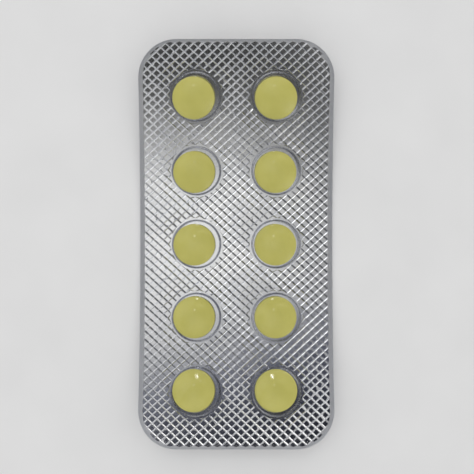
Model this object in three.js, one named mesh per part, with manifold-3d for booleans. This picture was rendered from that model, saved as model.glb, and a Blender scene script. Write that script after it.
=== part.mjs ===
// A ten-tablet blister pack: a clear formed film with ten round pockets,
// an aluminium foil sealed under it, and one biconvex tablet in each pocket.
// The pack is laid out flat as (x across, s along, h up from the foil's underside)
// and is then curled along its length, ends up, the way a sealed pack curls.

import * as THREE from 'three';
import { mergeVertices } from 'three/addons/utils/BufferGeometryUtils.js';
import Module from 'manifold-3d';

const wasm = await Module();
wasm.setup();

// Pack outline, in millimetres
const PACK_WIDTH = 42;
const PACK_LENGTH = 88;
const CORNER_RADIUS = 8.3;
const CORNER_SEGMENTS = 8;

// Curl along the length: a flat stretch to rest on, then one radius to each end
const CURL_RADIUS = 140;
const REST_HALF_LENGTH = 3;
const LENGTH_SEGMENTS = 30;

// Sheet build-up: the foil's thickness is taken over its knurl
const FOIL_THICKNESS = 0.14;
const SEAL_LAYER = 0.02;
const FILM_THICKNESS = 0.25;
const FILM_BASE = FOIL_THICKNESS + SEAL_LAYER;

// Pocket grid
const ROWS = 5;
const ROW_PITCH = 16.0;
const COLUMN_PITCH = 17.3;

// Pocket section: outside radii and heights above the film's underside
const POCKET_SEGMENTS = 24;
const CURVE_STEPS = 2;
const MOUTH_RADIUS = 5.62;
const WALL_FOOT_RADIUS = 5.32;
const WALL_FOOT_HEIGHT = 0.9;
const SHOULDER_RADIUS = 5.22;
const SHOULDER_HEIGHT = 3.35;
const CROWN_RADIUS = 4.1;
const CROWN_HEIGHT = 4.5;
const POCKET_HEIGHT = 4.85;
const WALL_THICKNESS = 0.16;

// Seal knurl on the foil: a lattice of diamond pits, set in a smooth border
// and left off under the pockets
const KNURL_STEP_X = 1.0;
const KNURL_STEP_S = 0.9;
const KNURL_DEPTH = 0.08;
const RIDGE_DROP = 0.02;
const BORDER_SIDE = 1.0;
const BORDER_END = 0.6;
const POCKET_CLEAR_RADIUS = 5.95;

// Tablet
const TABLET_RADIUS = 4.5;
const TABLET_THICKNESS = 4.0;
const TABLET_CUP = 1.15;
const TABLET_EDGE_BREAK = 0.12;
const TABLET_SEGMENTS = 24;
const TABLET_DOME_STEPS = 4;
const TABLET_LIFT = 0.01;

// Where each tablet has slid to in its pocket, from the pocket's centre
const SLIDE_X = { left: -0.42, right: -0.22 };
const SLIDE_BY_ROW = [-0.26, -0.26, -0.14, 0, 0.24];

const clearFilm = new THREE.MeshStandardMaterial({
  color: 0xdfe6ea, roughness: 0.08, metalness: 0, transparent: true, opacity: 0.35,
});
const bareFoil = new THREE.MeshStandardMaterial({
  color: 0xc3c6ca, roughness: 0.3, metalness: 1,
});
const coatedTablet = new THREE.MeshStandardMaterial({
  color: 0xb5b160, roughness: 0.28, metalness: 0,
});

// Curl of the sheet

function curlAngle(s) {
  const past = Math.max(Math.abs(s) - REST_HALF_LENGTH, 0);
  return Math.sign(s) * past / CURL_RADIUS;
}

function curlPoint(x, s, h) {
  const angle = curlAngle(s);
  const level = THREE.MathUtils.clamp(s, -REST_HALF_LENGTH, REST_HALF_LENGTH);
  const radius = CURL_RADIUS - h;
  return new THREE.Vector3(
    x,
    level + radius * Math.sin(angle),
    CURL_RADIUS - radius * Math.cos(angle),
  );
}

function curl(geometry) {
  const position = geometry.attributes.position;
  for (let i = 0; i < position.count; i += 1) {
    const p = curlPoint(position.getX(i), position.getY(i), position.getZ(i));
    position.setXYZ(i, p.x, p.y, p.z);
  }
  return geometry;
}

// Closed bodies between three.js and manifold-3d

function signedVolume(position, index) {
  const [a, b, c] = [0, 1, 2].map(() => new THREE.Vector3());
  let total = 0;
  for (let i = 0; i < index.length; i += 3) {
    a.fromBufferAttribute(position, index[i]);
    b.fromBufferAttribute(position, index[i + 1]);
    c.fromBufferAttribute(position, index[i + 2]);
    total += a.dot(b.cross(c)) / 6;
  }
  return total;
}

function weld(geometry) {
  geometry.deleteAttribute('normal');
  geometry.deleteAttribute('uv');
  const merged = mergeVertices(geometry, 1e-4);
  const kept = [];
  for (let i = 0; i < merged.index.count; i += 3) {
    const [a, b, c] = [0, 1, 2].map((k) => merged.index.getX(i + k));
    if (a !== b && b !== c && c !== a) kept.push(a, b, c);
  }
  if (signedVolume(merged.attributes.position, kept) < 0) kept.reverse();
  merged.setIndex(kept);
  return merged;
}

function toSolid(geometry) {
  const welded = weld(geometry);
  return new wasm.Manifold(new wasm.Mesh({
    numProp: 3,
    vertProperties: new Float32Array(welded.attributes.position.array),
    triVerts: new Uint32Array(welded.index.array),
  }));
}

function toGeometry(solid) {
  const mesh = solid.getMesh();
  const geometry = new THREE.BufferGeometry();
  geometry.setAttribute('position', new THREE.BufferAttribute(mesh.vertProperties, 3));
  geometry.setIndex(new THREE.BufferAttribute(mesh.triVerts, 1));
  geometry.computeVertexNormals();
  return geometry;
}

// Sheets

function roundedOutline() {
  const [w, l, r] = [PACK_WIDTH / 2, PACK_LENGTH / 2, CORNER_RADIUS];
  const outline = new THREE.Shape();
  outline.moveTo(-w + r, -l);
  outline.lineTo(w - r, -l);
  outline.absarc(w - r, -l + r, r, -Math.PI / 2, 0, false);
  outline.lineTo(w, l - r);
  outline.absarc(w - r, l - r, r, 0, Math.PI / 2, false);
  outline.lineTo(-w + r, l);
  outline.absarc(-w + r, l - r, r, Math.PI / 2, Math.PI, false);
  outline.lineTo(-w, -l + r);
  outline.absarc(-w + r, -l + r, r, Math.PI, Math.PI * 1.5, false);
  return outline;
}

function outlineCutter() {
  const reach = 20;
  const prism = new THREE.ExtrudeGeometry(roundedOutline(), {
    depth: reach * 2, bevelEnabled: false, curveSegments: CORNER_SEGMENTS,
  });
  return toSolid(curl(prism.translate(0, 0, -reach)));
}

function sheet(bottom, thickness) {
  const overhang = 2;
  const slab = new THREE.BoxGeometry(
    PACK_WIDTH + overhang, PACK_LENGTH, thickness, 1, LENGTH_SEGMENTS, 1,
  );
  slab.translate(0, 0, bottom + thickness / 2);
  return toSolid(curl(slab)).intersect(outlineCutter());
}

// Pockets

function pocketCentres() {
  const centres = [];
  for (let row = 0; row < ROWS; row += 1) {
    const s = ((ROWS - 1) / 2 - row) * ROW_PITCH;
    centres.push({ row, side: 'left', x: -COLUMN_PITCH / 2, s });
    centres.push({ row, side: 'right', x: COLUMN_PITCH / 2, s });
  }
  return centres;
}

function pocketProfile(inset, floor) {
  const foot = WALL_FOOT_RADIUS - inset;
  const mouth = MOUTH_RADIUS - inset;
  const flareStart = inset > 0 ? 0 : FILM_THICKNESS * 0.6;
  const crown = CROWN_HEIGHT - inset;
  const profile = new THREE.Path();
  profile.moveTo(0, floor);
  profile.lineTo(mouth, floor);
  profile.lineTo(mouth, flareStart);
  profile.quadraticCurveTo(foot, flareStart, foot, WALL_FOOT_HEIGHT);
  profile.lineTo(SHOULDER_RADIUS - inset, SHOULDER_HEIGHT);
  profile.quadraticCurveTo(
    SHOULDER_RADIUS - inset, crown - 0.15, CROWN_RADIUS - inset, crown,
  );
  profile.quadraticCurveTo(
    CROWN_RADIUS / 2, POCKET_HEIGHT - inset, 0, POCKET_HEIGHT - inset,
  );
  return profile.getPoints(CURVE_STEPS);
}

function pocketBody(centre, inset, floor) {
  const body = new THREE.LatheGeometry(pocketProfile(inset, floor), POCKET_SEGMENTS);
  body.rotateX(Math.PI / 2);
  body.translate(centre.x, centre.s, FILM_BASE);
  return toSolid(curl(body));
}

// Seal knurl

function insideRoundedBorder(x, s) {
  const w = PACK_WIDTH / 2 - BORDER_SIDE;
  const l = PACK_LENGTH / 2 - BORDER_END;
  const r = CORNER_RADIUS - BORDER_SIDE;
  const dx = Math.max(Math.abs(x) - (w - r), 0);
  const ds = Math.max(Math.abs(s) - (l - r), 0);
  return Math.abs(x) <= w && Math.abs(s) <= l && Math.hypot(dx, ds) <= r;
}

function isKnurled(x, s) {
  const clear = pocketCentres().every(
    (c) => Math.hypot(x - c.x, s - c.s) >= POCKET_CLEAR_RADIUS,
  );
  return clear && insideRoundedBorder(x, s);
}

function knurlLevel(x, s) {
  if (!isKnurled(x, s)) return FOIL_THICKNESS * 2;
  const column = Math.round(x / KNURL_STEP_X);
  const row = Math.round(s / KNURL_STEP_S);
  const isPit = (column + row) % 2 === 0;
  return FOIL_THICKNESS - (isPit ? KNURL_DEPTH : RIDGE_DROP);
}

// Each square of the grid is split along the diagonal that joins two ridge points
function splitAlongRidges(geometry) {
  const { position } = geometry.attributes;
  const index = Array.from(geometry.index.array);
  for (let i = 0; i < index.length; i += 6) {
    const [a, b, d, , c] = index.slice(i, i + 6);
    const column = Math.round(position.getX(a) / KNURL_STEP_X);
    const row = Math.round(position.getY(a) / KNURL_STEP_S);
    if ((column + row) % 2 !== 0) index.splice(i, 6, a, b, c, a, c, d);
  }
  geometry.setIndex(index);
}

function knurlCutter() {
  const columns = Math.round(PACK_WIDTH / KNURL_STEP_X);
  const rows = Math.round(PACK_LENGTH / KNURL_STEP_S);
  const block = new THREE.BoxGeometry(
    columns * KNURL_STEP_X, rows * KNURL_STEP_S, 2, columns, rows, 1,
  );
  block.translate(0, 0, FOIL_THICKNESS + 2);
  splitAlongRidges(block);
  const { position } = block.attributes;
  for (let i = 0; i < position.count; i += 1) {
    if (position.getZ(i) < FOIL_THICKNESS + 2) {
      position.setZ(i, knurlLevel(position.getX(i), position.getY(i)));
    }
  }
  return toSolid(curl(block));
}

// Pieces

function formingFilm() {
  const centres = pocketCentres();
  const outside = centres.map((c) => pocketBody(c, 0, FILM_THICKNESS * 0.45));
  const inside = centres.map((c) => pocketBody(c, WALL_THICKNESS, -1));
  return sheet(FILM_BASE, FILM_THICKNESS)
    .add(wasm.Manifold.union(outside))
    .subtract(wasm.Manifold.union(inside));
}

function liddingFoil() {
  return sheet(0, FOIL_THICKNESS).subtract(knurlCutter());
}

function tabletGeometry() {
  const rim = TABLET_RADIUS - TABLET_EDGE_BREAK;
  const domeRadius = (rim * rim + TABLET_CUP * TABLET_CUP) / (2 * TABLET_CUP);
  const profile = [];
  for (let i = 0; i <= TABLET_DOME_STEPS; i += 1) {
    const angle = Math.asin(rim / domeRadius) * i / TABLET_DOME_STEPS;
    const point = new THREE.Vector2(Math.sin(angle), 1 - Math.cos(angle));
    profile.push(point.multiplyScalar(domeRadius));
  }
  profile.push(new THREE.Vector2(TABLET_RADIUS, TABLET_CUP + TABLET_EDGE_BREAK));
  const upper = profile.map((p) => new THREE.Vector2(p.x, TABLET_THICKNESS - p.y));
  const outline = [...profile, ...upper.reverse()];
  const body = new THREE.LatheGeometry(outline, TABLET_SEGMENTS);
  return weld(body.rotateX(Math.PI / 2));
}

function placedTablet(centre, geometry) {
  const tablet = new THREE.Mesh(geometry, coatedTablet);
  const s = centre.s + SLIDE_BY_ROW[centre.row];
  const x = centre.x + SLIDE_X[centre.side];
  tablet.name = `tablet_row${centre.row + 1}_${centre.side}`;
  tablet.position.copy(curlPoint(x, s, FOIL_THICKNESS + TABLET_LIFT));
  tablet.rotation.x = curlAngle(s);
  return tablet;
}

const group = new THREE.Group();

const film = new THREE.Mesh(toGeometry(formingFilm()), clearFilm);
film.name = 'forming_film';
group.add(film);

const foil = new THREE.Mesh(toGeometry(liddingFoil()), bareFoil);
foil.name = 'lidding_foil';
group.add(foil);

const tabletShape = tabletGeometry();
tabletShape.computeVertexNormals();
pocketCentres().forEach((centre) => group.add(placedTablet(centre, tabletShape)));

export default group;
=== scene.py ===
import math

import bmesh
import bpy
import numpy as np
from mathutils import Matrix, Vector


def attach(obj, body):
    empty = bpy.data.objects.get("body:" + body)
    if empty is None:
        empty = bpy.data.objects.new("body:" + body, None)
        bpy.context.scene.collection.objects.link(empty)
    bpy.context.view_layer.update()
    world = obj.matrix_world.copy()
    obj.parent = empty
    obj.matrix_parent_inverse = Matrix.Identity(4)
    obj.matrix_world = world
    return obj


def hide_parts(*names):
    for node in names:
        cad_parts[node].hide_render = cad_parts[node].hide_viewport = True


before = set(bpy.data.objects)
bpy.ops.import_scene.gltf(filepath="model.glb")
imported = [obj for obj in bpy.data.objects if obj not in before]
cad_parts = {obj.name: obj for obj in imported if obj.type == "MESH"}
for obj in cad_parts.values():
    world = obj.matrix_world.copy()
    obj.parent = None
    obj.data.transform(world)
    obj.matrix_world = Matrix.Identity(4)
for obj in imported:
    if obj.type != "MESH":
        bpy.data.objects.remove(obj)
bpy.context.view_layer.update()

MM = 0.001
NEAR_ZERO = 1e-9  # keeps what is divided by off zero

# The pack's own dimensions, in millimetres, as in the CAD source
PACK_WIDTH = 42.0
PACK_LENGTH = 88.0
HALF_WIDTH = PACK_WIDTH / 2
HALF_LENGTH = PACK_LENGTH / 2
CORNER_RADIUS = 8.3
CURL_RADIUS = 140.0
REST_HALF_LENGTH = 3.0
FOIL_THICKNESS = 0.14
SEAL_LAYER = 0.02
FILM_BASE = FOIL_THICKNESS + SEAL_LAYER
FILM_THICKNESS = 0.25
ROWS = 5
ROW_PITCH = 16.0
COLUMN_PITCH = 17.3

SHY = 0.004  # how far the seen surfaces stay inside the CAD's


# Laying out and curling


def curl_angle(s):
    return np.sign(s) * np.maximum(np.abs(s) - REST_HALF_LENGTH, 0.0) / CURL_RADIUS


def curl(points):
    """Points laid out flat (x, s, h) in millimetres, to the curled pack in metres."""
    p = np.asarray(points, float)
    angle = curl_angle(p[:, 1])
    radius = CURL_RADIUS - p[:, 2]
    level = np.clip(p[:, 1], -REST_HALF_LENGTH, REST_HALF_LENGTH)
    y = level + radius * np.sin(angle)
    z = CURL_RADIUS - radius * np.cos(angle)
    return np.stack([p[:, 0], y, z], axis=1) * MM


def pocket_centres():
    """Row, side and flat place (x, s) of each pocket, from the top row down."""
    for row in range(ROWS):
        for side, sign in (("left", -1), ("right", 1)):
            yield row, side, sign * COLUMN_PITCH / 2, ((ROWS - 1) / 2 - row) * ROW_PITCH


def lengths(off):
    return np.maximum(np.hypot(off[:, 0], off[:, 1]), NEAR_ZERO)


def round_corners(points, inset_x=0.0, inset_s=0.0):
    """Points past the pack's rounded outline, less an inset, are brought back to it."""
    w, l = HALF_WIDTH - inset_x, HALF_LENGTH - inset_s
    r = CORNER_RADIUS - inset_x
    out = points.copy()
    out[:, 0] = np.clip(out[:, 0], -w, w)
    out[:, 1] = np.clip(out[:, 1], -l, l)
    side = np.sign(out[:, :2])
    centre = side * np.array([w - r, l - r])
    off = out[:, :2] - centre
    length = lengths(off)
    far = (np.abs(out[:, 0]) > w - r) & (np.abs(out[:, 1]) > l - r) & (length > r)
    out[far, :2] = centre[far] + off[far] * (r / length[far])[:, None]
    return out


# Meshes


def mesh_object(name, verts, faces, smooth=True):
    mesh = bpy.data.meshes.new(name)
    mesh.from_pydata([tuple(v) for v in verts], [], faces)
    mesh.validate()
    mesh.polygons.foreach_set("use_smooth", [smooth] * len(mesh.polygons))
    obj = bpy.data.objects.new(name, mesh)
    bpy.context.scene.collection.objects.link(obj)
    return obj


def finish_piece(obj, material, node):
    obj.data.materials.clear()
    obj.data.materials.append(material)
    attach(obj, "root")
    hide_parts(node)


# Shader nodes


def add(tree, kind, **values):
    """A node with its inputs, or else its settings, given by name."""
    node = tree.nodes.new(kind)
    for key, value in values.items():
        if key in node.inputs:
            node.inputs[key].default_value = value
        else:
            setattr(node, key, value)
    return node


def maths(tree, operation, first, second=None):
    node = add(tree, "ShaderNodeMath", operation=operation)
    for socket, value in zip(node.inputs, (first, second)):
        if value is None:
            continue
        if isinstance(value, (int, float)):
            socket.default_value = value
        else:
            tree.links.new(value, socket)
    return node.outputs[0]


def map_range(tree, value, target, source=(0.0, 1.0), kind="LINEAR"):
    node = add(tree, "ShaderNodeMapRange", interpolation_type=kind)
    names = ("From Min", "From Max", "To Min", "To Max")
    for name, number in zip(names, (*source, *target)):
        node.inputs[name].default_value = number
    tree.links.new(value, node.inputs["Value"])
    return node.outputs["Result"]


def smooth_step(tree, value, source, target):
    return map_range(tree, value, target, source, "SMOOTHSTEP")


def noise(tree, scale, detail):
    """Noise that stays put on the piece, from its Object coordinates."""
    coords = add(tree, "ShaderNodeTexCoord")
    texture = add(tree, "ShaderNodeTexNoise", Scale=scale, Detail=detail)
    tree.links.new(coords.outputs["Object"], texture.inputs["Vector"])
    return texture.outputs["Fac"]


def ramp(tree, value, stops):
    """The colour at a value, between stops of (place, colour)."""
    node = add(tree, "ShaderNodeValToRGB")
    elements = node.color_ramp.elements
    while len(elements) < len(stops):
        elements.new(0.5)
    for element, (place, colour) in zip(elements, stops):
        element.position = place
        element.color = (*colour, 1.0)
    tree.links.new(value, node.inputs["Fac"])
    return node.outputs["Color"]


def bump(tree, height, strength, distance):
    node = add(tree, "ShaderNodeBump", Strength=strength, Distance=distance)
    tree.links.new(height, node.inputs["Height"])
    return node.outputs["Normal"]


def mix_shaders(tree, share, first, second):
    """The first shader, with a share of the second."""
    node = add(tree, "ShaderNodeMixShader")
    for socket, value in zip(node.inputs, (share, first, second)):
        tree.links.new(value, socket)
    return node.outputs["Shader"]


def principled(tree, links, **values):
    """A Principled shader with linked inputs, by name, and plain ones."""
    shader = add(tree, "ShaderNodeBsdfPrincipled", **values)
    for name, value in links.items():
        tree.links.new(value, shader.inputs[name])
    return shader.outputs["BSDF"]


def new_material(name):
    material = bpy.data.materials.new(name)
    material.use_nodes = True
    material.node_tree.nodes.clear()
    return material, material.node_tree


def to_surface(tree, shader, kind="ShaderNodeOutputMaterial"):
    out = add(tree, kind)
    tree.links.new(shader, out.inputs["Surface"])


# Materials

# The foil's "ridge" marks, one a face: what the seal's tool has done to it
FLOOR_MARK = 0.0  # smooth: a cell's floor, or the foil under a tablet
RIDGE_MARK = 1.0  # the slopes, crest and skirt of a cell
SHEET_MARK = 2.0  # rubbed dull: the sheet itself, seen along the border
SHEET_STEP = (1.2, 1.8)  # between a ridge's mark and the sheet's


def tablet_material():
    material, tree = new_material("tablet_coat")
    cloud = noise(tree, 260.0, 3.0)
    grain = noise(tree, 2600.0, 2.0)
    tone = ramp(tree, cloud, [(0.25, (0.56, 0.525, 0.14)), (0.75, (0.62, 0.58, 0.165))])
    links = {
        "Base Color": tone,
        "Roughness": map_range(tree, grain, (0.08, 0.16)),
        "Normal": bump(tree, grain, 0.12, 0.00004),
    }
    to_surface(tree, principled(tree, links, IOR=1.23))
    return material


def foil_material():
    material, tree = new_material("foil")
    cloud = noise(tree, 140.0, 2.0)
    grain = noise(tree, 1500.0, 3.0)
    mark = add(tree, "ShaderNodeAttribute", attribute_name="ridge").outputs["Fac"]
    rubbed = maths(
        tree,
        "ADD",
        maths(tree, "MULTIPLY", mark, 0.03),
        smooth_step(tree, mark, SHEET_STEP, (0.0, 0.4)),
    )
    dulled = add(tree, "ShaderNodeVectorMath", operation="SCALE")
    tone = ramp(tree, cloud, [(0.3, (0.82, 0.83, 0.85)), (0.8, (0.93, 0.93, 0.94))])
    tree.links.new(tone, dulled.inputs[0])
    tree.links.new(smooth_step(tree, mark, SHEET_STEP, (1.0, 0.9)), dulled.inputs["Scale"])
    links = {
        "Base Color": dulled.outputs["Vector"],
        "Roughness": maths(tree, "ADD", map_range(tree, grain, (0.06, 0.14)), rubbed),
        "Normal": bump(tree, cloud, 0.35, 0.00006),
    }
    to_surface(tree, principled(tree, links, Metallic=1.0))
    return material


def film_material():
    """Clear head-on, and from the side greyer, a little hazy and then a mirror. Towards
    grazing the colour let through turns dark navy: painted shade that stands in for the dark
    arcs reflected in the pocket walls.
    """
    material, tree = new_material("clear_film")
    edge = add(tree, "ShaderNodeLayerWeight", Blend=0.35).outputs["Facing"]
    lean = add(tree, "ShaderNodeLayerWeight", Blend=0.5).outputs["Facing"]
    # painted shade: the last stop, dark navy at grazing angles, darkens the pockets' steep
    # walls in place of the dark room they would reflect; the faint grey before it is the
    # film's own colour
    grazing_tint_and_painted_shade = ramp(
        tree,
        edge,
        [(0.0, (0.99, 0.99, 0.99)), (0.42, (0.96, 0.965, 0.975)), (0.88, (0.29, 0.31, 0.44))],
    )
    clear = add(tree, "ShaderNodeBsdfTransparent")
    tree.links.new(grazing_tint_and_painted_shade, clear.inputs["Color"])
    haze = add(tree, "ShaderNodeBsdfDiffuse", Color=(0.9, 0.91, 0.92, 1.0))
    veil = smooth_step(tree, edge, (0.35, 0.9), (0.0, 0.18))
    hazy = mix_shaders(tree, veil, clear.outputs["BSDF"], haze.outputs["BSDF"])
    gloss = add(tree, "ShaderNodeBsdfGlossy", Roughness=0.07)
    tree.links.new(bump(tree, noise(tree, 420.0, 1.0), 0.1, 0.00008), gloss.inputs["Normal"])
    steep = maths(tree, "MULTIPLY", maths(tree, "POWER", lean, 5.0), 0.9)
    mirror = maths(tree, "ADD", steep, 0.015)
    to_surface(tree, mix_shaders(tree, mirror, hazy, gloss.outputs["BSDF"]))
    return material


def floor_material():
    material, tree = new_material("pale_floor")
    cloud = noise(tree, 60.0, 2.0)
    tone = ramp(tree, cloud, [(0.3, (0.80, 0.80, 0.80)), (0.7, (0.83, 0.83, 0.83))])
    to_surface(tree, principled(tree, {"Base Color": tone}, Roughness=0.7))
    return material


tablet_coat = tablet_material()
foil_metal = foil_material()
clear_film = film_material()


# Tablets

TABLET_RADIUS = 4.5
TABLET_THICKNESS = 4.0
TABLET_CUP = 1.15
TABLET_LIFT = 0.01
EDGE_BREAK = 0.12
BREAK_IN = 0.03  # the broken edge's middle point: in from the side,
BREAK_UP = 0.05  # and up from the cup
TABLET_SHY = 0.012  # how far the seen tablet stays inside the CAD's
TABLET_SEGMENTS = 96
DOME_STEPS = 20

# Where each tablet has slid to in its pocket, from the pocket's centre
SLIDE_X = {"left": -0.42, "right": -0.22}
SLIDE_BY_ROW = [-0.26, -0.26, -0.14, 0.0, 0.24]


def tablet_profile():
    """Radius and height, from the lower face's middle round to the upper one's."""
    rim = TABLET_RADIUS - EDGE_BREAK
    dome = (rim**2 + TABLET_CUP**2) / (2 * TABLET_CUP)
    sweep = math.asin(rim / dome)
    turns = [sweep * i / DOME_STEPS for i in range(DOME_STEPS + 1)]
    middle = TABLET_THICKNESS / 2
    half = [(dome * math.sin(turn), dome * (1 - math.cos(turn))) for turn in turns]
    half += [
        (TABLET_RADIUS - BREAK_IN, TABLET_CUP + BREAK_UP),
        (TABLET_RADIUS, TABLET_CUP + EDGE_BREAK),
        (TABLET_RADIUS, middle),
    ]
    full = half + [(r, TABLET_THICKNESS - h) for r, h in reversed(half[:-1])]
    scale = 1 - TABLET_SHY / TABLET_RADIUS
    return [(r * scale, middle + (h - middle) * scale) for r, h in full]


def lathe(profile, segments):
    """A closed solid of revolution, whose profile starts and ends on the axis."""
    verts = [(0.0, 0.0, profile[0][1])]
    for r, h in profile[1:-1]:
        for k in range(segments):
            a = 2 * math.pi * k / segments
            verts.append((r * math.cos(a), r * math.sin(a), h))
    verts.append((0.0, 0.0, profile[-1][1]))
    faces = []
    rings = len(profile) - 2
    for k in range(segments):
        n = (k + 1) % segments
        faces.append((0, 1 + n, 1 + k))
        for j in range(rings - 1):
            a, b = 1 + j * segments, 1 + (j + 1) * segments
            faces.append((a + k, a + n, b + n, b + k))
        top = 1 + (rings - 1) * segments
        faces.append((top + k, top + n, len(verts) - 1))
    return np.array(verts), faces


def make_tablets():
    verts, faces = lathe(tablet_profile(), TABLET_SEGMENTS)
    for row, side, x, s in pocket_centres():
        s = s + SLIDE_BY_ROW[row]
        x = x + SLIDE_X[side]
        angle = float(curl_angle(np.array(s)))
        base = curl([(x, s, FOIL_THICKNESS + TABLET_LIFT)])[0]
        turned = verts.copy()
        turned[:, 1] = verts[:, 1] * math.cos(angle) - verts[:, 2] * math.sin(angle)
        turned[:, 2] = verts[:, 1] * math.sin(angle) + verts[:, 2] * math.cos(angle)
        node = f"tablet_row{row + 1}_{side}"
        piece = mesh_object(f"seen_{node}", turned * MM + base, faces)
        finish_piece(piece, tablet_coat, node)


# Film: ten tiles for each face, every one a pocket and the flat film round it

# Pocket section: outside radii and heights above the film's underside
MOUTH_RADIUS = 5.62
WALL_FOOT_RADIUS = 5.32
WALL_FOOT_HEIGHT = 0.9
SHOULDER_RADIUS = 5.22
SHOULDER_HEIGHT = 3.35
SHOULDER_DROP = 0.15  # how far under the crown the shoulder's curve aims
CROWN_RADIUS = 4.1
CROWN_HEIGHT = 4.5
POCKET_HEIGHT = 4.85
WALL_THICKNESS = 0.16

SIDE_STEPS = 24  # along each side of a tile
FLAT_STEPS = 6  # from the tile's edge to the mouth
FLARE_STEPS = 8
WALL_STEPS = 5
SHOULDER_STEPS = 10
CROWN_STEPS = 8
WELD_DISTANCE = 2e-6  # metres


def tile_edge(x0, x1, s0, s1):
    """Points round the tile, counter-clockwise from its lower left corner."""
    t = np.arange(SIDE_STEPS) / SIDE_STEPS
    sides = [
        (x0 + (x1 - x0) * t, np.full(SIDE_STEPS, s0)),
        (np.full(SIDE_STEPS, x1), s0 + (s1 - s0) * t),
        (x1 + (x0 - x1) * t, np.full(SIDE_STEPS, s1)),
        (np.full(SIDE_STEPS, x0), s1 + (s0 - s1) * t),
    ]
    points = np.concatenate([np.stack(side, axis=1) for side in sides])
    return round_corners(points)


def bezier(a, b, c, count):
    """A curve from a, left out, to c, that aims at b."""
    t = np.linspace(0, 1, count + 1)[1:, None]
    a, b, c = (np.array(v, float) for v in (a, b, c))
    return (1 - t) ** 2 * a + 2 * t * (1 - t) * b + t**2 * c


def pocket_section(inset, level):
    """Radius and height from the mouth up to the last ring, and the top's height."""
    mouth, foot = MOUTH_RADIUS - inset, WALL_FOOT_RADIUS - inset
    shoulder, crown = SHOULDER_RADIUS - inset, CROWN_HEIGHT - inset
    top = POCKET_HEIGHT - inset
    wall_start, wall_end = (foot, WALL_FOOT_HEIGHT), (shoulder, SHOULDER_HEIGHT)
    dome_start = (CROWN_RADIUS - inset, crown)
    flare = bezier((mouth, level), (foot, level), wall_start, FLARE_STEPS)
    wall = np.linspace(wall_start, wall_end, WALL_STEPS + 1)[1:]
    bend = bezier(wall_end, (shoulder, crown - SHOULDER_DROP), dome_start, SHOULDER_STEPS)
    dome = bezier(dome_start, (CROWN_RADIUS / 2, top), (0, top), CROWN_STEPS)[:-1]
    return np.concatenate([[(mouth, level)], flare, wall, bend, dome]), top


def film_tile(tile, centre, inset, level):
    """One face of the film over a tile, laid out flat: rings from the edge to the top."""
    section, top = pocket_section(inset, level)
    edge = tile_edge(*tile)
    angle = np.arctan2(edge[:, 1] - centre[1], edge[:, 0] - centre[0])
    ring = np.stack([np.cos(angle), np.sin(angle)], axis=1)
    mouth = centre + ring * section[0, 0]
    shares = np.linspace(1, 0, FLAT_STEPS + 1)[:-1]
    rings = [(mouth + (edge - mouth) * share, level) for share in shares]
    rings += [(centre + ring * radius, height) for radius, height in section]
    rows = [np.column_stack([flat, np.full(len(flat), height)]) for flat, height in rings]
    points = np.concatenate(rows + [[(*centre, top)]])
    points[:, 2] += FILM_BASE
    count = len(edge)
    faces = []
    for j in range(len(rows) - 1):
        low, high = j * count, (j + 1) * count
        for k in range(count):
            n = (k + 1) % count
            faces.append((low + k, low + n, high + n, high + k))
    last = (len(rows) - 1) * count
    for k in range(count):
        faces.append((last + k, last + (k + 1) % count, len(points) - 1))
    return points, faces


def weld(obj):
    bm = bmesh.new()
    bm.from_mesh(obj.data)
    bmesh.ops.remove_doubles(bm, verts=bm.verts, dist=WELD_DISTANCE)
    bmesh.ops.recalc_face_normals(bm, faces=bm.faces)
    bm.to_mesh(obj.data)
    bm.free()


def close_rim(obj):
    """Joins the film's two faces round the pack's outline."""
    bm = bmesh.new()
    bm.from_mesh(obj.data)
    rim = [e for e in bm.edges if e.is_boundary]
    bmesh.ops.bridge_loops(bm, edges=rim)
    bmesh.ops.recalc_face_normals(bm, faces=bm.faces)
    bm.to_mesh(obj.data)
    bm.free()
    obj.data.polygons.foreach_set("use_smooth", [True] * len(obj.data.polygons))


def make_film():
    verts, faces = [], []
    total = 0
    outside = (SHY, FILM_THICKNESS - SHY, False)
    inside = (WALL_THICKNESS - SHY, SHY, True)
    for inset, level, flip in (outside, inside):
        for row, side, x, s in pocket_centres():
            x0, x1 = (-HALF_WIDTH, 0) if side == "left" else (0, HALF_WIDTH)
            s0 = -HALF_LENGTH if row == ROWS - 1 else s - ROW_PITCH / 2
            s1 = HALF_LENGTH if row == 0 else s + ROW_PITCH / 2
            points, quads = film_tile((x0, x1, s0, s1), np.array([x, s]), inset, level)
            points[:, 0] *= 1 - SHY / HALF_WIDTH
            points[:, 1] *= 1 - SHY / HALF_LENGTH
            verts.append(curl(points))
            turned = [f[::-1] if flip else f for f in quads]
            faces += [tuple(i + total for i in f) for f in turned]
            total += len(points)
    film = mesh_object("seen_forming_film", np.concatenate(verts), faces)
    weld(film)
    close_rim(film)
    finish_piece(film, clear_film, "forming_film")


# Foil: a thin sheet with the knurl's cells laid on both faces by Geometry Nodes

SHEET_LOW = 0.054
SHEET_HIGH = 0.064
CORNER_STEPS = 16
STRAIGHT_STEPS = 60
ACROSS_STEPS = 12

KNURL_SIDE = 0.9  # plain border along the sides,
KNURL_END = 0.5  # and along the ends
POCKET_CLEAR = 5.7  # plain foil round each pocket's centre
PAST_BORDER = 0.15  # how far a cell's middle may lie past the knurl's outline,
UNDER_POCKET = 0.6  # and inside the plain foil round a pocket

CELL_X = 2.0
CELL_S = 1.8
CELL_RINGS = ((0.715, 0.0), (0.81, 0.22), (0.92, 0.82), (1.0, 1.0))  # shares of size, height
CELL_SKIRT = 0.006  # how far a cell's outer edge goes down past its floor
CELL_LIFT = 0.003  # how far its floor stands off the sheet
CELL_TILT = 0.006  # radians, the most it leans about x or y
CELL_SEED = 0

DISC_RADII = (2.0, 4.1, 6.2)
DISC_LIFT = 0.0015
DISC_SEGMENTS = 36


def ring_quads(low, high, count):
    """Faces between two rings of points, which start at low and high."""
    pairs = [(k, (k + 1) % count) for k in range(count)]
    return [(low + k, high + k, high + n, low + n) for k, n in pairs]


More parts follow.
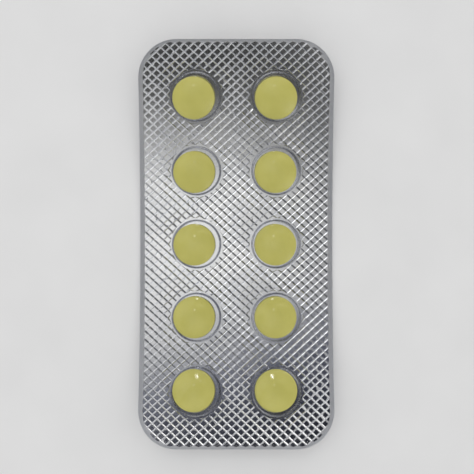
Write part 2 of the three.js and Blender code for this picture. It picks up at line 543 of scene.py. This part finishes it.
def base_sheet():
    """The plain sheet, closed, as rows across the pack that follow its outline."""
    straight = HALF_LENGTH - CORNER_RADIUS
    turn = np.linspace(0, math.pi / 2, CORNER_STEPS + 1)
    end = CORNER_RADIUS * (1 - np.cos(turn)) - HALF_LENGTH
    middle = np.linspace(-straight, straight, STRAIGHT_STEPS + 1)[1:-1]
    stops = np.concatenate([end, middle, -end[::-1]])
    past = np.maximum(np.abs(stops) - straight, 0)
    half = HALF_WIDTH - CORNER_RADIUS + np.sqrt(np.maximum(CORNER_RADIUS**2 - past**2, 0))
    across = np.linspace(-1, 1, ACROSS_STEPS + 1)
    verts, faces = [], []
    for h in (SHEET_LOW, SHEET_HIGH):
        for s, w in zip(stops, half):
            verts += [(a * (w - SHY), s * (1 - SHY / HALF_LENGTH), h) for a in across]
    n, m = len(across), len(stops)
    for layer in (0, 1):
        for j in range(m - 1):
            for i in range(n - 1):
                a = layer * n * m + j * n + i
                quad = (a, a + 1, a + n + 1, a + n)
                faces.append(quad if layer else quad[::-1])
    rim = list(range(n))
    rim += [j * n + n - 1 for j in range(1, m)]
    rim += [(m - 1) * n + i for i in range(n - 2, -1, -1)]
    rim += [j * n for j in range(m - 2, 0, -1)]
    for a, b in zip(rim, rim[1:] + rim[:1]):
        faces.append((a, b, b + n * m, a + n * m))
    return verts, faces


def pocket_disc(x, s, h):
    """The plain foil under a tablet, not sealed and so still bright."""
    verts, faces = [(x, s, h)], []
    for j, radius in enumerate(DISC_RADII):
        for k in range(DISC_SEGMENTS):
            a = 2 * math.pi * k / DISC_SEGMENTS
            verts.append((x + radius * math.cos(a), s + radius * math.sin(a), h))
        if j == 0:
            faces += [(0, 1 + k, 1 + (k + 1) % DISC_SEGMENTS) for k in range(DISC_SEGMENTS)]
        else:
            start = 1 + (j - 1) * DISC_SEGMENTS
            faces += ring_quads(start, start + DISC_SEGMENTS, DISC_SEGMENTS)
    return verts, faces


def knurl_cell(height):
    """One diamond: a flat floor, four sloping sides, a narrow crest and a skirt."""
    rings = [(scale, share * height) for scale, share in CELL_RINGS] + [(1.0, -CELL_SKIRT)]
    verts, faces = [], []
    for scale, h in rings:
        for x, s in ((1, 0), (0, 1), (-1, 0), (0, -1)):
            verts.append((x * scale * CELL_X / 2, s * scale * CELL_S / 2, h))
    for j in range(len(rings) - 1):
        faces += ring_quads(4 * j, 4 * (j + 1), 4)
    marks = [RIDGE_MARK] * len(faces) + [FLOOR_MARK]
    faces.append((0, 1, 2, 3))
    return verts, faces, marks


def in_knurl(x, s):
    place = np.array([[x, s]])
    off = np.hypot(*(round_corners(place, KNURL_SIDE, KNURL_END) - place)[0])
    reach = POCKET_CLEAR - UNDER_POCKET
    clear = all(math.hypot(x - cx, s - cs) > reach for _, _, cx, cs in pocket_centres())
    return clear and off <= PAST_BORDER


def knurl_centres():
    """The middles of the cells: every other point of a lattice of half cells."""
    columns, rows = round(PACK_WIDTH / CELL_X), round(PACK_LENGTH / CELL_S)
    points = []
    for a in range(-columns, columns + 1):
        for b in range(-rows, rows + 1):
            x, s = a * CELL_X / 2, b * CELL_S / 2
            if (a + b) % 2 == 0 and in_knurl(x, s):
                points.append((x, s, 0.0))
    return points


def clear_pockets(points):
    """Points under a pocket or its foot are pushed out to the knurl's round edge."""
    out = points.copy()
    for _, _, x, s in pocket_centres():
        off = out[:, :2] - np.array([x, s])
        length = lengths(off)
        near = length < POCKET_CLEAR
        out[near, :2] = np.array([x, s]) + off[near] * (POCKET_CLEAR / length[near])[:, None]
    return out


def knurl_tree(cell, material):
    """Puts a copy of the cell on every point of the lattice, leaning a little."""
    tree = bpy.data.node_groups.new("knurl_lattice", "GeometryNodeTree")
    tree.interface.new_socket("Geometry", in_out="INPUT", socket_type="NodeSocketGeometry")
    for name, value in (("Cell Scale", 1.0), ("Tilt", CELL_TILT)):
        socket = tree.interface.new_socket(name, in_out="INPUT", socket_type="NodeSocketFloat")
        socket.default_value = value
    tree.interface.new_socket("Geometry", in_out="OUTPUT", socket_type="NodeSocketGeometry")
    link = tree.links.new
    inlet = add(tree, "NodeGroupInput")
    outlet = add(tree, "NodeGroupOutput")
    shape = add(tree, "GeometryNodeObjectInfo", Object=cell)
    scatter = add(tree, "GeometryNodeInstanceOnPoints")
    chance = add(tree, "FunctionNodeRandomValue", data_type="FLOAT_VECTOR", Seed=CELL_SEED)
    chance.inputs["Min"].default_value = (-1, -1, 0)
    chance.inputs["Max"].default_value = (1, 1, 0)
    lean = add(tree, "ShaderNodeVectorMath", operation="SCALE")
    real = add(tree, "GeometryNodeRealizeInstances")
    coat = add(tree, "GeometryNodeSetMaterial", Material=material)
    link(inlet.outputs["Geometry"], scatter.inputs["Points"])
    link(shape.outputs["Geometry"], scatter.inputs["Instance"])
    link(inlet.outputs["Cell Scale"], scatter.inputs["Scale"])
    link(chance.outputs["Value"], lean.inputs[0])
    link(inlet.outputs["Tilt"], lean.inputs["Scale"])
    link(lean.outputs["Vector"], scatter.inputs["Rotation"])
    link(scatter.outputs["Instances"], real.inputs["Geometry"])
    link(real.outputs["Geometry"], coat.inputs["Geometry"])
    link(coat.outputs["Geometry"], outlet.inputs["Geometry"])
    return tree


def lattice_mesh(cell_verts, cell_faces):
    """Points and faces of all the cells of one face of the foil, laid out flat."""
    cell = mesh_object("knurl_cell", cell_verts, cell_faces, smooth=False)
    points = mesh_object("knurl_points", knurl_centres(), [])
    modifier = points.modifiers.new("knurl", "NODES")
    modifier.node_group = knurl_tree(cell, foil_metal)
    bpy.context.view_layer.update()
    evaluated = points.evaluated_get(bpy.context.evaluated_depsgraph_get())
    mesh = bpy.data.meshes.new_from_object(evaluated)
    points.modifiers.remove(modifier)
    verts = np.empty(len(mesh.vertices) * 3)
    mesh.vertices.foreach_get("co", verts)
    faces = [tuple(p.vertices) for p in mesh.polygons]
    for helper in (points, cell):
        bpy.data.objects.remove(helper)
    return verts.reshape(-1, 3), faces


def make_foil():
    sheet, sheet_faces = base_sheet()
    parts = [(np.array(sheet), sheet_faces, [SHEET_MARK] * len(sheet_faces))]
    for _, _, x, s in pocket_centres():
        disc, disc_faces = pocket_disc(x, s, SHEET_HIGH + DISC_LIFT)
        parts.append((np.array(disc), disc_faces, [FLOOR_MARK] * len(disc_faces)))
    upper = (1, SHEET_HIGH, FOIL_THICKNESS - SHY)
    under = (-1, SHEET_LOW, SHY)
    for sign, level, crest in (upper, under):
        floor = level + sign * CELL_LIFT
        cell, cell_faces, cell_marks = knurl_cell(abs(crest - floor))
        points, quads = lattice_mesh(cell, cell_faces)
        points = clear_pockets(round_corners(points, KNURL_SIDE, KNURL_END))
        points[:, 2] = floor + sign * points[:, 2]
        marks = cell_marks * (len(quads) // len(cell_marks))
        parts.append((points, [f[::sign] for f in quads], marks))
    verts, faces, ridge = [], [], []
    total = 0
    for points, part_faces, marks in parts:
        verts.append(points)
        faces += [tuple(i + total for i in f) for f in part_faces]
        ridge += marks
        total += len(points)
    foil = mesh_object("seen_lidding_foil", curl(np.concatenate(verts)), faces, smooth=False)
    attribute = foil.data.attributes.new("ridge", "FLOAT", "FACE")
    attribute.data.foreach_set("value", ridge)
    finish_piece(foil, foil_metal, "lidding_foil")


# Stage, in metres

FLOOR_HALF = 0.6
FLOOR_DROP = 0.0001  # how far the floor lies under the pack

# The sky is a level ceiling one unit up: u runs along x on it, and v along y
LOWEST_RISE = 0.05
LOWEST_TILT = 0.01
SKY_LEVEL = 0.02
EVEN_LEVEL = 0.8
DIAGONAL = 0.7071
BELL_BASE = 2.718

# Soft patches of the sky: centre, width and level
SKY_PATCHES = (
    ((-0.07, -0.02), (0.2, 0.15), 0.92),
    ((-0.12, 0.15), (0.1, 0.1), 0.3),
    ((-0.6, -0.72), (0.3, 0.22), 0.85),
    ((0.42, -0.45), (0.2, 0.2), 1.1),
    ((0.4, 0.85), (0.45, 0.17), 3.2),
    ((1.25, -1.15), (0.55, 0.45), 3.3),
)

# Square lights, aimed at the pack's middle: name, place, side and watts
LIGHTS = (
    ("key", (-0.24, 0.2, 0.55), 0.3, 0.2),
    ("pane", (-0.02, 0.25, 0.54), 0.03, 0.12),
)

CAMERA_PLACE = (0.00015, 0.00153, 0.170)
CAMERA_LENS = 58.9  # millimetres
CAMERA_SENSOR = 36.0
CAMERA_NEAR = 0.01


def make_floor():
    s = FLOOR_HALF
    corners = [(-s, -s, 0), (s, -s, 0), (s, s, 0), (-s, s, 0)]
    floor = mesh_object("floor", corners, [(0, 1, 2, 3)])
    floor.location.z = -FLOOR_DROP
    floor.data.materials.append(floor_material())


def bell(tree, u, v, centre, width):
    """A soft round patch of the sky, 1 in its middle."""
    parts = []
    for value, middle, spread in zip((u, v), centre, width):
        off = maths(tree, "DIVIDE", maths(tree, "SUBTRACT", value, middle), spread)
        parts.append(maths(tree, "MULTIPLY", off, off))
    total = maths(tree, "ADD", *parts)
    return maths(tree, "POWER", BELL_BASE, maths(tree, "MULTIPLY", total, -1.0))


def sky_glow(tree, u, v):
    """A dim sky, darkest overhead and towards +x +y, lighter low down, with the patches."""
    square = maths(tree, "ADD", maths(tree, "MULTIPLY", u, u), maths(tree, "MULTIPLY", v, v))
    tilt = maths(tree, "SQRT", square)
    reach = maths(tree, "MAXIMUM", tilt, LOWEST_TILT)
    along = maths(tree, "MULTIPLY", maths(tree, "ADD", u, v), DIAGONAL)
    across = maths(tree, "MULTIPLY", maths(tree, "SUBTRACT", u, v), DIAGONAL)
    way = maths(tree, "DIVIDE", along, reach)
    side = maths(tree, "ABSOLUTE", maths(tree, "DIVIDE", across, reach))
    rise = smooth_step(tree, tilt, (0.3, 0.55), (0.0, 0.13))
    shade = smooth_step(tree, way, (0.3, 0.75), (1.0, 0.04))
    low_rise = smooth_step(tree, tilt, (1.7, 2.4), (0.0, 0.4))
    low_side = smooth_step(tree, side, (0.5, 0.95), (1.0, 2.2))
    high = maths(tree, "MULTIPLY", rise, shade)
    low = maths(tree, "MULTIPLY", low_rise, low_side)
    glow = maths(tree, "ADD", high, maths(tree, "ADD", low, SKY_LEVEL))
    for centre, width, level in SKY_PATCHES:
        patch = maths(tree, "MULTIPLY", bell(tree, u, v, centre, width), level)
        glow = maths(tree, "ADD", glow, patch)
    return glow


def sky_colour(tree, glow, v):
    """Bluish where it is dim, past row 1's side, and nearly white past row 5's."""
    hue = ramp(
        tree,
        glow,
        [(0.0, (0.62, 0.68, 1.0)), (0.4, (0.96, 0.97, 1.0)), (1.0, (1.0, 0.99, 0.96))],
    )
    mix = add(tree, "ShaderNodeMix", data_type="RGBA")
    share, white, blue = (mix.inputs[i] for i in (0, 6, 7))
    white.default_value = (1.0, 1.0, 0.98, 1.0)
    tree.links.new(smooth_step(tree, v, (-0.15, 0.2), (0.0, 1.0)), share)
    tree.links.new(hue, blue)
    return mix.outputs[2]


def make_world():
    """Even light on what is dull, and a dim sky with soft patches in what is glossy."""
    world = bpy.data.worlds.new("studio")
    bpy.context.scene.world = world
    world.use_nodes = True
    tree = world.node_tree
    tree.nodes.clear()
    coords = add(tree, "ShaderNodeTexCoord")
    split = add(tree, "ShaderNodeSeparateXYZ")
    tree.links.new(coords.outputs["Generated"], split.inputs["Vector"])
    up = maths(tree, "MAXIMUM", split.outputs["Z"], LOWEST_RISE)
    u = maths(tree, "DIVIDE", split.outputs["X"], up)
    v = maths(tree, "DIVIDE", split.outputs["Y"], up)
    glow = sky_glow(tree, u, v)
    sky = add(tree, "ShaderNodeBackground")
    tree.links.new(sky_colour(tree, glow, v), sky.inputs["Color"])
    tree.links.new(glow, sky.inputs["Strength"])
    even = add(tree, "ShaderNodeBackground", Color=(1.0, 1.0, 1.0, 1.0), Strength=EVEN_LEVEL)
    glossy = add(tree, "ShaderNodeLightPath").outputs["Is Glossy Ray"]
    mix = mix_shaders(tree, glossy, even.outputs["Background"], sky.outputs["Background"])
    to_surface(tree, mix, "ShaderNodeOutputWorld")


def make_lights():
    for name, place, side, watts in LIGHTS:
        data = bpy.data.lights.new(name, "AREA")
        data.shape = "SQUARE"
        data.size = side
        data.energy = watts
        light = bpy.data.objects.new(name, data)
        light.location = place
        light.rotation_euler = (-Vector(place)).to_track_quat("-Z", "Y").to_euler()
        bpy.context.scene.collection.objects.link(light)


def make_camera():
    """Over the pack, looking straight down."""
    data = bpy.data.cameras.new("camera")
    data.sensor_width = CAMERA_SENSOR
    data.lens = CAMERA_LENS
    data.clip_start = CAMERA_NEAR
    camera = bpy.data.objects.new("camera", data)
    camera.location = CAMERA_PLACE
    camera.rotation_euler = (0, 0, 0)
    bpy.context.scene.collection.objects.link(camera)
    bpy.context.scene.camera = camera


make_tablets()
make_film()
make_foil()
make_floor()
make_world()
make_lights()
make_camera()

scene = bpy.context.scene
scene.view_settings.view_transform = "Standard"
scene.view_settings.look = "None"
